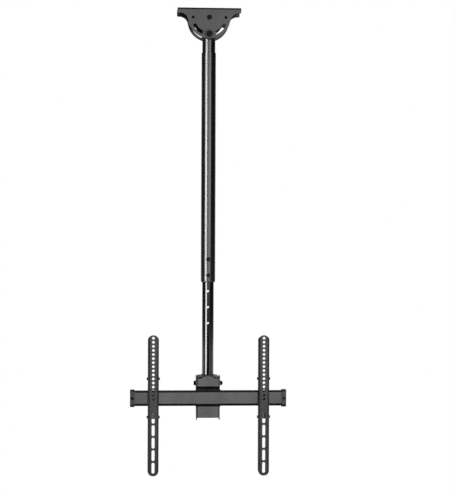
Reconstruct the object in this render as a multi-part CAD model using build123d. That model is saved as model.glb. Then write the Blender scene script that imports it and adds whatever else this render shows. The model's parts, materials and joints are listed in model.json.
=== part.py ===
from build123d import *
import math
import os

# Telescopic television ceiling mount, in millimetres.
# The origin is the centre of the ceiling plate's top face. Z is up, the pole hangs
# down, and the television side faces -Y.

# Ceiling bracket: one folded sheet with two hanging ears
ceiling_sheet = 3.0
ceiling_length = 198.0
ceiling_depth = 80.0
ceiling_bend = 2.5
wing_height = 17.0
wing_corner = 4.0
waist_radius = 27.0
ear_radius = 65.5
pivot_drop = 30.0
arc_slot_radius = 51.5
arc_slot_width = 10.8
ear_hole_bore = 8.5
ear_hole_offset = 51.0
fixing_slot_width = 8.5
fixing_slot_length = 18.0
fixing_spacing_x = 150.0
fixing_spacing_y = 44.0

# Bolts of the ceiling joint
pivot_bolt = 8.0
pivot_bolt_hex = 13.0
pivot_bolt_head = 5.3
pivot_nut_height = 6.5
pivot_washer_diameter = 17.0
lean_bolt = 10.0
lean_bolt_hex = 17.0
lean_bolt_head = 6.4
lean_nut_height = 8.0
lean_washer_diameter = 29.0
ceiling_bolt_spare = 5.0
ceiling_washer = 2.0
ceiling_lean = 60.0
slot_end_play = 1.0

# Fork and neck of the upper pole
fork_sheet = 4.0
fork_bend = 3.0
fork_width = 41.0
fork_drop = 63.0
shim_thickness = 1.2
shim_diameter = 26.0
neck_diameter = 40.8
neck_wall = 2.0
neck_overlap = 60.0
neck_screw = 6.0
neck_screw_head = 10.0
neck_screw_head_height = 3.3
neck_screw_first = 18.0
neck_screw_spacing = 25.0
neck_screw_reach = 2.5
neck_screw_socket = 4.0
neck_screw_socket_depth = 1.8

# Tubes
outer_diameter = 45.0
outer_wall = 2.0
outer_top = 136.5
outer_length = 712.5
inner_diameter = 36.0
inner_wall = 2.0
inner_length = 736.0
height_hole_bore = 8.5
height_hole_pitch = 50.0
height_hole_count = 12
height_hole_first = 160.0

# Guides and height locks
bush_length = 80.0
bush_lip = 4.0
bush_lip_diameter = 43.2
ring_height = 10.0
ring_lip = 2.0
lock_row_first = 18.0
lock_screw = 8.0
lock_screw_head = 11.5
lock_screw_head_height = 4.5
lock_screw_socket = 5.0
lock_screw_socket_depth = 2.6
boss_diameter = 14.0
boss_height = 2.5

# Swivel under the lower tube
plug_height = 20.0
friction_washer_diameter = 44.0
friction_washer = 2.0
swivel_bolt_diameter = 12.0
swivel_bolt_hex = 19.0
swivel_bolt_head = 7.5
swivel_washer_diameter = 30.0
swivel_washer = 2.0
swivel_bolt_engagement = 16.0

# Yoke
yoke_sheet = 4.0
yoke_bend = 3.0
yoke_width = 66.0
yoke_front = 22.0
yoke_back = 26.0
yoke_pivot_drop = 25.0
tilt_slot_radius = 40.0
tilt_slot_width = 8.6
tilt_slot_wall = 7.4
yoke_front_drop = 13.0
yoke_toe = 7.5
yoke_heel_corner = 16.0
yoke_toe_corner = 5.0
yoke_lip = 16.0
yoke_lip_relief = 0.5
tilt_down = 20.0
tilt_up = 5.0

# Tilt plate and its bolts
tilt_sheet = 3.0
tilt_bend = 5.0
tilt_spacer = 0.9
tilt_spacer_diameter = 26.0
tilt_web_back = 26.0
tilt_joggle = 9.0
tilt_joggle_top = 9.5
tilt_joggle_height = 5.0
tilt_joggle_bend = 4.0
tilt_top = 24.5
tilt_shoulder = 17.0
tilt_arch_half = 23.0
tilt_web_bottom = 106.0
tilt_foot = 6.0
tilt_flange_back = 15.0
tilt_flange_taper = 16.0
tilt_flange_corner = 9.0
tilt_foot_back = 14.0
tilt_bolt = 8.0
tilt_bolt_hex = 13.0
tilt_bolt_head = 5.3
tilt_bolt_spare = 2.2
tilt_nut_height = 6.5
tilt_washer = 1.6
tilt_washer_diameter = 17.0

# Rail, saddle and caps
rail_below_pivot = 43.0
rail_height = 48.0
rail_depth = 20.0
rail_wall = 1.5
rail_corner = 8.0
rail_length = 478.0
saddle_width = 76.0
saddle_sheet = 2.0
rail_screw = 6.0
rail_screw_hex = 10.0
rail_screw_head = 4.0
rail_nut_height = 5.0
rail_screw_spare = 1.0
rail_screw_x = 18.0
rail_screw_z = 10.0
cap_length = 14.0
cap_wall = 3.0
cap_end = 3.0
cap_corner = 10.0
cap_screw = 4.0
cap_screw_head = 8.0
cap_screw_head_height = 2.0
cap_screw_spare = 1.0
cap_screw_cross = 4.6
cap_screw_cross_width = 1.0
cap_screw_cross_depth = 1.2

# Arms
arm_offset = 170.5
arm_width = 34.0
arm_sheet = 2.5
arm_bend = 6.0
arm_flange = 18.0
arm_front = 72.0
arm_above_rail = 196.5
arm_below_rail = 236.5
arm_end_radius = 16.5
arm_hole_bore = 8.0
arm_hole_pitch = 12.5
arm_hole_count = 16
arm_slot_width = 9.0
arm_slot_length = 33.0
arm_slot_pitch = 38.4
arm_slot_count = 5
arm_slot_first = 58.0

# Arm hooks and their screws
hook_sheet = 2.5
hook_half_height = 68.0
hook_front_setback = 6.2
hook_front_corner = 7.0
hook_foot_corner = 5.0
hook_notch_corner = 2.0
hook_tip_corner = 2.0
hook_back_corner = 4.0
hook_shoulder_corner = 10.0
hook_behind = 7.5
hook_shoulder = 40.0
hook_tip = 6.0
hook_web_reach = 27.5
hook_web_rise = 5.0
hook_web_bend = 1.5
hook_tab_back = 19.0
cross_bolt = 5.0
cross_bolt_head = 9.0
cross_bolt_head_height = 3.4
cross_nut_hex = 8.0
cross_nut_height = 4.0
cross_bolt_above = 62.0
cross_bolt_below = 56.0
cross_bolt_setback = 12.0
arm_screw = 6.0
arm_screw_nut_hex = 10.0
arm_screw_nut = 5.0
arm_screw_head = 14.0
arm_screw_head_height = 7.0
arm_screw_head_chamfer = 0.8
arm_screw_length = 24.0

# Clearances
pin_gap = 0.1
face_gap = 0.1
slide_gap = 0.15
hook_gap = 0.3
screw_gap = 0.2
tip_gap = 0.3

# Rounding of heads and rims, as a share of their height
round_share = 0.6
slight_share = 0.4

# Crown of hexagon heads and nuts, as shares of its height and of the width over the flats
crown_spread = 1.9
crown_draft = 0.1
crown_excess = 0.03

# How near a face or edge lies to the place where it is looked for, and how far a cut runs past a wall
pick_near = 0.1
pick_exact = 0.01
cut_spare = 1.0

# Places worked out from the sizes above
pivot_z = -pivot_drop
fork_depth = ceiling_depth - 2 * (ceiling_sheet + shim_thickness + face_gap)
fork_bottom = pivot_z - fork_drop
lock_z = pivot_z - arc_slot_radius
outer_bottom = -outer_top - outer_length
outer_bore = outer_diameter - 2 * outer_wall
neck_bottom = -outer_top - neck_overlap
lower_lock_z = outer_bottom + lock_row_first
inner_bottom = lower_lock_z - 2 * height_hole_pitch - height_hole_pitch - height_hole_first
inner_top = inner_bottom + inner_length
inner_bore = inner_diameter - 2 * inner_wall
yoke_top = inner_bottom - friction_washer - face_gap
swivel_washer_top = yoke_top - yoke_sheet - face_gap
swivel_head_top = swivel_washer_top - swivel_washer
tilt_z = yoke_top - yoke_pivot_drop
tilt_width = yoke_width + 2 * (face_gap + tilt_spacer + tilt_sheet)
tilt_lock_z = tilt_z - tilt_slot_radius
web_front = -tilt_web_back - tilt_sheet
rail_z = tilt_z - rail_below_pivot
rail_back = web_front
rail_front = rail_back - rail_depth


def tube(diameter, bore, bottom, top):
    """Round tube about the Z axis."""
    ring = Circle(diameter / 2) - Circle(bore / 2)
    return extrude(Plane.XY.offset(bottom) * ring, top - bottom)


def rod(diameter, start, end, axis, at):
    """Round bar along an axis, from start to end, through the point (u, v)."""
    return extrude(bar_plane(axis, start, at) * Circle(diameter / 2), end - start)


def washer(diameter, bore, start, thickness, axis, at):
    """Flat ring whose faces are square to an axis."""
    ring = Circle(diameter / 2) - Circle(bore / 2)
    return extrude(bar_plane(axis, start, at) * ring, thickness)


def hexagon(across, start, height, axis, at, bore=0.0):
    """Hexagon head or nut with chamfered corners on its outer face."""
    plane = bar_plane(axis, start, at)
    block = extrude(plane * RegularPolygon(across / 2, 6, major_radius=False), height)
    reach = abs(height)
    side = 1 if height > 0 else -1
    wide = across * 0.5 + reach * crown_spread
    narrow = across * 0.5 - crown_draft * reach + across * crown_excess
    cone = Cone(wide, narrow, reach, align=(Align.CENTER, Align.CENTER, Align.MIN))
    if side < 0:
        cone = Rot(180, 0, 0) * cone
    block = block & (plane * cone)
    if bore:
        block -= extrude(plane * Circle(bore / 2), height)
    return block


def hex_socket(across, start, depth, z):
    """Six-sided recess along Y in the head of a pole screw."""
    return extrude(bar_plane("Y", start, (0, z)) * RegularPolygon(across / 2, 6, major_radius=False), depth)


def bar_plane(axis, start, at):
    """Plane square to an axis; at holds the two other coordinates in X, Y, Z order."""
    if axis == "X":
        return Plane(origin=(start, at[0], at[1]), x_dir=(0, 1, 0), z_dir=(1, 0, 0))
    if axis == "Y":
        return Plane(origin=(at[0], start, at[1]), x_dir=(1, 0, 0), z_dir=(0, 1, 0))
    return Plane(origin=(at[0], at[1], start), x_dir=(1, 0, 0), z_dir=(0, 0, 1))


def arc_slot(radius, width, first, last):
    """Slot along an arc about the sketch origin; angles are counted from straight down."""
    return SlotArc(CenterArc((0, 0), radius, -90 + first, last - first), width)


def folded_channel(length, depth, height, sheet, bend):
    """U channel, open below, with its top face at z = 0 and its length along X."""
    outer = Pos(0, -height / 2) * Rectangle(depth, height)
    top_corners = outer.vertices().group_by(Axis.Y)[-1]
    outer = fillet(top_corners, bend + sheet)
    inner_height = height - sheet
    inner = Pos(0, -sheet - inner_height / 2) * Rectangle(depth - 2 * sheet, inner_height)
    inner_corners = inner.vertices().group_by(Axis.Y)[-1]
    inner = fillet(inner_corners, bend)
    return extrude(Plane.YZ.offset(-length / 2) * (outer - inner), length)


def ear_outline():
    """Front view of the ceiling bracket: straight wings that curve into a round ear."""
    waist_z = -wing_height - waist_radius
    waist_x = math.sqrt((ear_radius + waist_radius) ** 2 - (waist_z - pivot_z) ** 2)
    share = ear_radius / (ear_radius + waist_radius)
    meet = (waist_x * share, pivot_z + (waist_z - pivot_z) * share)
    wing = Pos(0, -wing_height / 2) * Rectangle(ceiling_length, wing_height)
    wing = fillet(wing.vertices().group_by(Axis.Y)[0], wing_corner)
    outline = wing + Pos(0, pivot_z) * Circle(ear_radius)
    for side in (-1, 1):
        web = make_face(Polyline((0, -wing_height / 2), (side * waist_x, -wing_height / 2),
                                 (side * waist_x, waist_z), (side * meet[0], meet[1]),
                                 (0, pivot_z), close=True))
        outline += web - Pos(side * waist_x, waist_z) * Circle(waist_radius)
    return outline


def ceiling_bracket():
    """Folded plate: slotted top for the ceiling and two ears with pivot and arc slot."""
    drop = pivot_drop + ear_radius
    sheet = folded_channel(ceiling_length, ceiling_depth, drop, ceiling_sheet, ceiling_bend)
    holes = Pos(0, pivot_z) * Circle(pivot_bolt / 2 + pin_gap)
    holes += Pos(0, pivot_z) * arc_slot(arc_slot_radius, arc_slot_width,
                                        -ceiling_lean - slot_end_play, ceiling_lean + slot_end_play)
    for side in (-1, 1):
        holes += Pos(side * ear_hole_offset, pivot_z) * Circle(ear_hole_bore / 2)
    blank = extrude(Plane.XZ * (ear_outline() - holes), ceiling_depth / 2, both=True)
    bracket = sheet & blank
    slot = SlotOverall(fixing_slot_length, fixing_slot_width)
    for x in (-fixing_spacing_x / 2, fixing_spacing_x / 2):
        for y in (-fixing_spacing_y / 2, fixing_spacing_y / 2):
            bracket -= Pos(x, y, -ceiling_sheet) * extrude(slot, ceiling_sheet)
    return bracket


def ceiling_through_bolt(z, diameter, across, head, nut_height, washer_diameter, gap):
    """Bolt, nut and two washers outside both ears, along Y, with a gap to the ears."""
    face = ceiling_depth / 2 + gap
    seat = face + ceiling_washer
    bolt = rod(diameter, -seat, seat + nut_height + ceiling_bolt_spare, "Y", (0, z))
    bolt += hexagon(across, -seat, -head, "Y", (0, z))
    nut = hexagon(across, seat, nut_height, "Y", (0, z), diameter)
    front = washer(washer_diameter, diameter, -seat, ceiling_washer, "Y", (0, z))
    back = washer(washer_diameter, diameter, face, ceiling_washer, "Y", (0, z))
    return bolt, nut, [front, back]


def fork():
    """Folded fork: two cheeks with round tops, and a web that the neck is welded to."""
    height = fork_drop + fork_width / 2
    channel = folded_channel(fork_width, fork_depth, height, fork_sheet, fork_bend)
    channel = Pos(0, 0, fork_bottom) * (Rot(180, 0, 0) * channel)
    outline = Pos(0, pivot_z - fork_drop / 2) * Rectangle(fork_width, fork_drop)
    outline += Pos(0, pivot_z) * Circle(fork_width / 2)
    for z, diameter in ((pivot_z, pivot_bolt), (lock_z, lean_bolt)):
        outline -= Pos(0, z) * Circle(diameter / 2 + pin_gap)
    return channel & extrude(Plane.XZ * outline, fork_depth / 2, both=True)


def fork_shims():
    """Four plastic rings between the fork and the ears, at the pivot and the lock bolt."""
    rings = []
    for z, diameter in ((pivot_z, pivot_bolt), (lock_z, lean_bolt)):
        bore = diameter + 2 * pin_gap
        rings.append(washer(shim_diameter, bore, fork_depth / 2, shim_thickness, "Y", (0, z)))
        rings.append(washer(shim_diameter, bore, -fork_depth / 2, -shim_thickness, "Y", (0, z)))
    return rings


def neck_screw_heights():
    """Heights of the two screws that hold the neck in the outer tube."""
    top = -outer_top - neck_screw_first
    return [top, top - neck_screw_spacing]


def neck_tube():
    """Short tube under the fork that plugs into the outer tube."""
    neck = tube(neck_diameter, neck_diameter - 2 * neck_wall, neck_bottom, fork_bottom)
    for z in neck_screw_heights():
        neck -= rod(neck_screw, 0, outer_diameter, "Y", (0, z))
    return neck


def neck_screws():
    """Two round-headed screws at the back of the pole."""
    screws = []
    tip = neck_diameter / 2 - neck_wall - neck_screw_reach
    seat = outer_diameter / 2
    for z in neck_screw_heights():
        head = rod(neck_screw_head, seat, seat + neck_screw_head_height, "Y", (0, z))
        rim = head.edges().filter_by(GeomType.CIRCLE).group_by(Axis.Y)[-1]
        head = fillet(rim, neck_screw_head_height * round_share)
        head -= hex_socket(neck_screw_socket, seat + neck_screw_head_height, -neck_screw_socket_depth, z)
        screws.append(head + rod(neck_screw, tip, seat, "Y", (0, z)))
    return screws


def lock_screw_heights():
    """Heights of the two height locks at rest."""
    return [lower_lock_z, lower_lock_z + height_hole_pitch]


def outer_tube():
    """Upper tube of the pole, with holes for its screws."""
    pole = tube(outer_diameter, outer_bore, outer_bottom, -outer_top)
    for z in neck_screw_heights():
        pole -= rod(neck_screw + 2 * screw_gap, 0, outer_diameter, "Y", (0, z))
    for z in lock_screw_heights():
        pole -= rod(lock_screw + 2 * screw_gap, -outer_diameter, 0, "Y", (0, z))
    return pole


def guide_bush():
    """Plastic bush in the foot of the outer tube, with a lip below the tube."""
    bore = inner_diameter + 2 * slide_gap
    body = tube(outer_bore - 2 * face_gap, bore, outer_bottom, outer_bottom + bush_length)
    lip = tube(bush_lip_diameter, bore, outer_bottom - bush_lip, outer_bottom)
    rim = lip.edges().filter_by(GeomType.CIRCLE).group_by(Axis.Z)[0].sort_by(SortBy.RADIUS)[-1]
    lip = chamfer(rim, bush_lip * slight_share)
    bush = body + lip
    for z in lock_screw_heights():
        bush -= rod(lock_screw + 2 * screw_gap, -outer_diameter, 0, "Y", (0, z))
    return bush


def screw_bosses():
    """Welded bosses that the height locks are screwed into, saddled to the tube."""
    bosses = []
    for z in lock_screw_heights():
        boss = rod(boss_diameter, -outer_diameter / 2 - boss_height, -outer_diameter / 4, "Y", (0, z))
        boss -= extrude(Plane.XY.offset(z - boss_diameter) * Circle(outer_diameter / 2),
                        2 * boss_diameter)
        boss -= rod(lock_screw, -outer_diameter, 0, "Y", (0, z))
        bosses.append(boss)
    return bosses


def height_lock_screws():
    """Two screws on the front of the pole, drawn back just clear of the inner tube."""
    screws = []
    seat = -outer_diameter / 2 - boss_height
    tip = -inner_diameter / 2 - tip_gap
    for z in lock_screw_heights():
        head = rod(lock_screw_head, seat - lock_screw_head_height, seat, "Y", (0, z))
        rim = head.edges().filter_by(GeomType.CIRCLE).group_by(Axis.Y)[0]
        head = fillet(rim, lock_screw_head_height * slight_share)
        head -= hex_socket(lock_screw_socket, seat - lock_screw_head_height, lock_screw_socket_depth, z)
        screws.append(head + rod(lock_screw, seat, tip, "Y", (0, z)))
    return screws


def inner_tube():
    """Lower tube of the pole, pierced through at the height pitch."""
    pole = tube(inner_diameter, inner_bore, inner_bottom, inner_top)
    for step in range(height_hole_count):
        z = inner_bottom + height_hole_first + step * height_hole_pitch
        pole -= rod(height_hole_bore, -inner_diameter, inner_diameter, "Y", (0, z))
    return pole


def slide_ring():
    """Plastic ring on the top end of the inner tube, that runs in the outer tube."""
    outer = outer_bore - 2 * (slide_gap + face_gap)
    collar = tube(outer, inner_diameter, inner_top - ring_height, inner_top)
    return collar + tube(outer, inner_bore, inner_top, inner_top + ring_lip)


def tube_end_plug():
    """Threaded steel plug welded into the foot of the inner tube."""
    return tube(inner_bore, swivel_bolt_diameter, inner_bottom, inner_bottom + plug_height)


def friction_ring():
    """Plastic friction washer between the tube and the yoke."""
    return tube(friction_washer_diameter, swivel_bolt_diameter + 2 * pin_gap,
                inner_bottom - friction_washer, inner_bottom)


def swivel_bolt():
    """Bolt that the yoke turns on, screwed up into the plug."""
    shank = rod(swivel_bolt_diameter, swivel_head_top, inner_bottom + swivel_bolt_engagement,
                "Z", (0, 0))
    return shank + hexagon(swivel_bolt_hex, swivel_head_top, -swivel_bolt_head, "Z", (0, 0))


def swivel_thrust_washer():
    """Washer under the yoke's top plate."""
    return washer(swivel_washer_diameter, swivel_bolt_diameter, swivel_head_top,
                  swivel_washer, "Z", (0, 0))


def yoke():
    """Folded yoke, open below: its cheeks carry the tilt pivot and the tilt slots."""
    reach = tilt_slot_radius + tilt_slot_width / 2 + tilt_slot_wall
    height = yoke_pivot_drop + reach
    channel = Rot(0, 0, 90) * folded_channel(4 * yoke_back, yoke_width, height, yoke_sheet, yoke_bend)
    toe_z = tilt_z - reach
    points = [(-yoke_front, yoke_top), (yoke_back, yoke_top), (yoke_back, toe_z),
              (-yoke_toe, toe_z), (-yoke_front, tilt_z - yoke_front_drop)]
    radii = [0, yoke_bend + yoke_sheet, yoke_heel_corner, yoke_toe_corner, yoke_toe_corner]
    face = make_face(FilletPolyline(*points, radius=radii, close=True))
    side = extrude(Plane.YZ.offset(-yoke_width / 2) * face, yoke_width)
    body = (Pos(0, 0, yoke_top) * channel) & side
    body += yoke_rear_lip()
    slot = arc_slot(tilt_slot_radius, tilt_slot_width, -tilt_up - slot_end_play, tilt_down + slot_end_play)
    holes = slot + Circle(tilt_bolt / 2 + pin_gap)
    body -= extrude(Plane.YZ.offset(-yoke_width / 2) * (Pos(0, tilt_z) * holes), yoke_width)
    body -= rod(swivel_bolt_diameter + 2 * pin_gap, yoke_top - yoke_sheet, yoke_top, "Z", (0, 0))
    return body


def yoke_rear_lip():
    """Lip folded down from the back of the yoke's top, between its cheeks."""
    half = yoke_width / 2 - yoke_sheet - yoke_lip_relief
    start = yoke_back - yoke_sheet - 2 * yoke_bend
    points = [(start, yoke_top), (yoke_back, yoke_top), (yoke_back, yoke_top - yoke_lip),
              (yoke_back - yoke_sheet, yoke_top - yoke_lip),
              (yoke_back - yoke_sheet, yoke_top - yoke_sheet), (start, yoke_top - yoke_sheet)]
    radii = [0, yoke_bend + yoke_sheet, 0, 0, yoke_bend, 0]
    face = make_face(FilletPolyline(*points, radius=radii, close=True))
    return extrude(Plane.YZ.offset(-half) * face, 2 * half)


def tilt_web_line(depth, top, foot):
    """Side line of the joggled web, at a depth into the sheet from its front face."""
    proud = web_front - tilt_joggle + depth
    slope = math.hypot(tilt_joggle, tilt_joggle_height)
    rise = depth * (slope - tilt_joggle_height) / tilt_joggle
    knee = tilt_z - tilt_joggle_top + rise
    points = [(proud, top), (proud, knee), (web_front + depth, knee - tilt_joggle_height),
              (web_front + depth, foot)]
    return FilletPolyline(*points, radius=tilt_joggle_bend)


def tilt_plate():
    """One folded sheet: joggled web with an arched top, two flanges and two feet."""
    top = tilt_z + tilt_top
    foot = tilt_z - tilt_web_bottom - tilt_foot
    line = tilt_web_line(0, top, foot)
    rest = FilletPolyline((web_front, foot), (-tilt_foot_back, foot),
                          (tilt_flange_back, tilt_lock_z - tilt_flange_taper),
                          (tilt_flange_back, top), (web_front - tilt_joggle, top),
                          radius=tilt_flange_corner)
    flange_face = make_face(line.edges() + rest.edges())
    half = tilt_width / 2
    outer = extrude(Plane.YZ.offset(-half) * flange_face, tilt_width)
    front = outer.faces().filter_by(
        lambda f: abs(f.normal_at().X) < pick_exact and f.center().Y < web_front + pick_near)
    side_edges = []
    for face in front:
        for edge in face.edges():
            if abs(abs(edge.center().X) - half) < pick_exact:
                side_edges.append(edge)
    outer = fillet(side_edges, tilt_bend)
    plate = outer - tilt_pocket(top + tilt_sheet, foot - tilt_sheet)
    web_zone = Box(tilt_width - 2 * tilt_sheet, tilt_web_back * 2, tilt_foot * 2)
    plate -= Pos(0, web_front, foot) * web_zone
    plate -= arch_cut(top)
    for z in (tilt_z, tilt_lock_z):
        plate -= rod(tilt_bolt, -tilt_width, tilt_width, "X", (0, z))
    for place in rail_screw_places():
        plate -= rod(rail_screw + 2 * screw_gap, web_front - cut_spare, -tilt_web_back + cut_spare,
                     "Y", place)
    return plate


def tilt_pocket(top, foot):
    """Space behind the tilt plate's web, as wide as the flanges leave."""
    half = tilt_width / 2 - tilt_sheet
    line = tilt_web_line(tilt_sheet, top, foot)
    beyond = 2 * tilt_flange_back
    back = Polyline((web_front + tilt_sheet, foot), (beyond, foot), (beyond, top),
                    (web_front - tilt_joggle + tilt_sheet, top))
    face = make_face(line.edges() + back.edges())
    return extrude(Plane.YZ.offset(-half) * face, 2 * half)


def arch_cut(top):
    """What is cut from the top of the web, to leave an arch between two shoulders."""
    half = tilt_width / 2 - tilt_sheet
    shoulder = tilt_z + tilt_shoulder
    rise = tilt_top - tilt_shoulder
    radius = (tilt_arch_half ** 2 + rise ** 2) / (2 * rise)
    block = Pos(0, shoulder + rise) * Rectangle(2 * half, 2 * rise)
    block -= Pos(0, top - radius) * Circle(radius)
    depth = tilt_joggle + tilt_sheet
    return extrude(Plane.XZ.offset(-web_front + tilt_joggle) * block, -depth)


def tilt_through_bolt(z):
    """Bolt, nut and two washers through both flanges, along X."""
    face = tilt_width / 2
    seat = face + tilt_washer
    bolt = rod(tilt_bolt, -seat, seat + tilt_nut_height + tilt_bolt_spare, "X", (0, z))
    bolt += hexagon(tilt_bolt_hex, -seat, -tilt_bolt_head, "X", (0, z))
    nut = hexagon(tilt_bolt_hex, seat, tilt_nut_height, "X", (0, z), tilt_bolt)
    left = washer(tilt_washer_diameter, tilt_bolt, -seat, tilt_washer, "X", (0, z))
    right = washer(tilt_washer_diameter, tilt_bolt, face, tilt_washer, "X", (0, z))
    return bolt, nut, [left, right]


def tilt_spacers():
    """Two plastic rings between the yoke's cheeks and the tilt plate's flanges."""
    inner = tilt_width / 2 - tilt_sheet
    return [washer(tilt_spacer_diameter, tilt_bolt, side * inner, -side * tilt_spacer, "X", (0, tilt_z))
            for side in (-1, 1)]


def rail_section(grow):
    """Rounded section of the rail in (y, z), grown by a clearance or a wall."""
    corner = rail_corner + grow
    return Pos((rail_front + rail_back) / 2, rail_z) * RectangleRounded(
        rail_depth + 2 * grow, rail_height + 2 * grow, corner)


def rail_screw_places():
    """The four (x, z) places where the rail is screwed to the tilt plate."""
    return [(x, z) for x in (-rail_screw_x, rail_screw_x)
            for z in (rail_z - rail_screw_z, rail_z + rail_screw_z)]


def rail():
    """Rectangular tube that the arms slide on."""
    half = rail_length / 2
    section = rail_section(0) - rail_section(-rail_wall)
    body = extrude(Plane.YZ.offset(-half) * section, rail_length)
    for place in rail_screw_places():
        body -= rod(rail_screw + 2 * screw_gap, rail_back - rail_depth / 2, rail_back, "Y", place)
    for side in (-1, 1):
        body -= rod(cap_screw, rail_front, rail_front + rail_depth / 2, "Y", (side * cap_screw_x(), rail_z))
    return body


def saddle_section(grow):
    """The rail's grown section in (y, z), with straight legs at its back."""
    legs = Pos(rail_back - rail_depth / 4, rail_z) * Rectangle(rail_depth / 2, rail_height + 2 * grow)
    return rail_section(grow) + legs


def rail_saddle():
    """Sheet wrapped over the rail's front, top and bottom, and welded to the tilt plate."""
    section = saddle_section(face_gap + saddle_sheet) - saddle_section(face_gap)
    behind = Pos(rail_back + rail_depth / 2, rail_z) * Rectangle(rail_depth, 2 * rail_height)
    return extrude(Plane.YZ.offset(-saddle_width / 2) * (section - behind), saddle_width)


def rail_screws():
    """Four hexagon screws from behind the tilt plate into the rail."""
    end = rail_back - rail_wall - rail_nut_height - rail_screw_spare
    screws = []
    for place in rail_screw_places():
        shank = rod(rail_screw, end, -tilt_web_back, "Y", place)
        screws.append(shank + hexagon(rail_screw_hex, -tilt_web_back, rail_screw_head, "Y", place))
    return screws


def rail_nuts():
    """Four nuts welded inside the rail's back wall."""
    face = rail_back - rail_wall
    return [hexagon(rail_screw_hex, face, -rail_nut_height, "Y", place, rail_screw)
            for place in rail_screw_places()]


def cap_screw_x():
    """Distance of the cap screws from the middle of the rail."""
    return rail_length / 2 + cap_end - cap_length / 2


def rail_end_cap(side):
    """Moulded sleeve cap over one end of the rail."""
    outer = RectangleRounded(rail_depth + 2 * cap_wall, rail_height + 2 * cap_wall, cap_corner)
    middle = (rail_front + rail_back) / 2
    start = rail_length / 2 + cap_end - cap_length
    body = extrude(Plane.YZ.offset(start) * (Pos(middle, rail_z) * outer), cap_length)
    rim = body.edges().group_by(Axis.X)[-1]
    body = fillet(rim, cap_end * round_share)
    body -= extrude(Plane.YZ.offset(start) * rail_section(face_gap), cap_length - cap_end)
    body -= rod(cap_screw + 2 * screw_gap, rail_front - cap_wall, rail_front, "Y", (cap_screw_x(), rail_z))
    if side < 0:
        body = mirror(body, Plane.YZ)
    return body


def cap_screws():
    """Two pan-head screws that hold the caps, on the front of the rail."""
    seat = rail_front - cap_wall
    screws = []
    for side in (-1, 1):
        place = (side * cap_screw_x(), rail_z)
        head = rod(cap_screw_head, seat - cap_screw_head_height, seat, "Y", place)
        rim = head.edges().filter_by(GeomType.CIRCLE).group_by(Axis.Y)[0]
        head = fillet(rim, cap_screw_head_height * round_share)
        for cross in (Rectangle(cap_screw_cross, cap_screw_cross_width),
                      Rectangle(cap_screw_cross_width, cap_screw_cross)):
            plane = bar_plane("Y", seat - cap_screw_head_height, place)
            head -= extrude(plane * cross, cap_screw_cross_depth)
        screws.append(head + rod(cap_screw, seat, rail_front + rail_wall + cap_screw_spare, "Y", place))
    return screws


def arm_channel(x):
    """Upright arm: channel with rounded ends, a row of holes above and slots below."""
    length = arm_above_rail + arm_below_rail
    channel = folded_channel(length, arm_width, arm_flange, arm_sheet, arm_bend - arm_sheet)
    upright = Plane(origin=(x, -arm_front, rail_z + (arm_above_rail - arm_below_rail) / 2),
                    x_dir=(0, 0, 1), z_dir=(0, -1, 0))
    channel = upright * channel
    middle = rail_z + (arm_above_rail - arm_below_rail) / 2
    face = Pos(x, middle) * RectangleRounded(arm_width, length, arm_end_radius)
    for step in range(arm_hole_count):
        face -= Pos(x, rail_z + step * arm_hole_pitch) * Circle(arm_hole_bore / 2)
    slot = Rot(0, 0, 90) * SlotOverall(arm_slot_length, arm_slot_width)
    for step in range(arm_slot_count):
        face -= Pos(x, rail_z - arm_slot_first - step * arm_slot_pitch) * slot
    channel = channel & extrude(Plane.XZ.offset(arm_front) * face, -arm_flange)
    for z in cross_bolt_heights():
        channel -= rod(cross_bolt + 2 * screw_gap, x - arm_width, x + arm_width, "X", (cross_bolt_y(), z))
    return channel


def cross_bolt_y():
    """How far in front of the pole's axis the cross bolts lie."""
    return -arm_front + cross_bolt_setback


def arm_hook(x):
    """Folded bracket: two cheeks that hook over the rail, a lower web and a lock tab."""
    front = -arm_front + hook_front_setback
    notch_front = rail_front - hook_gap
    notch_back = rail_back + hook_gap
    notch_top = rail_z + rail_height / 2 + hook_gap
    back = notch_back + hook_behind
    points = [(front, rail_z - hook_half_height), (notch_front, rail_z - hook_half_height),
              (notch_front, notch_top), (notch_back, notch_top), (notch_back, rail_z + hook_tip),
              (back, rail_z + hook_tip), (back, rail_z + hook_shoulder),
              (notch_front, rail_z + hook_half_height), (front, rail_z + hook_half_height)]
    radii = [hook_front_corner, hook_foot_corner, hook_notch_corner, hook_notch_corner, hook_tip_corner,
             hook_back_corner, hook_shoulder_corner, hook_shoulder_corner, hook_front_corner]
    face = make_face(FilletPolyline(*points, radius=radii, close=True))
    inner = arm_width / 2 - arm_sheet - face_gap - hook_sheet
    bracket = None
    for side in (-1, 1):
        start = x + inner if side > 0 else x - inner - hook_sheet
        cheek = extrude(Plane.YZ.offset(start) * face, hook_sheet)
        bracket = cheek if bracket is None else bracket + cheek
    web_top = rail_z - hook_web_reach
    web_bottom = rail_z - hook_half_height + hook_web_rise
    web_back = notch_front
    web_points = [(web_back - hook_sheet, web_bottom), (web_back, web_bottom),
                  (web_back, web_top - hook_sheet), (web_back + hook_tab_back, web_top - hook_sheet),
                  (web_back + hook_tab_back, web_top), (web_back - hook_sheet, web_top)]
    radii = [0, 0, hook_web_bend, 0, 0, hook_web_bend + hook_sheet]
    web = make_face(FilletPolyline(*web_points, radius=radii, close=True))
    bracket += extrude(Plane.YZ.offset(x - inner) * web, 2 * inner)
    for z in cross_bolt_heights():
        bracket -= rod(cross_bolt, x - arm_width, x + arm_width, "X", (cross_bolt_y(), z))
    bracket -= rod(arm_screw, web_top - hook_sheet, web_top, "Z", (x, arm_screw_y()))
    return bracket


def arm_screw_y():
    """The lock screw stands under the middle of the rail."""
    return (rail_front + rail_back) / 2


def cross_bolt_heights():
    """Heights of the bolts that hold an arm to its hook."""
    return [rail_z - cross_bolt_below, rail_z + cross_bolt_above]


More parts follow.
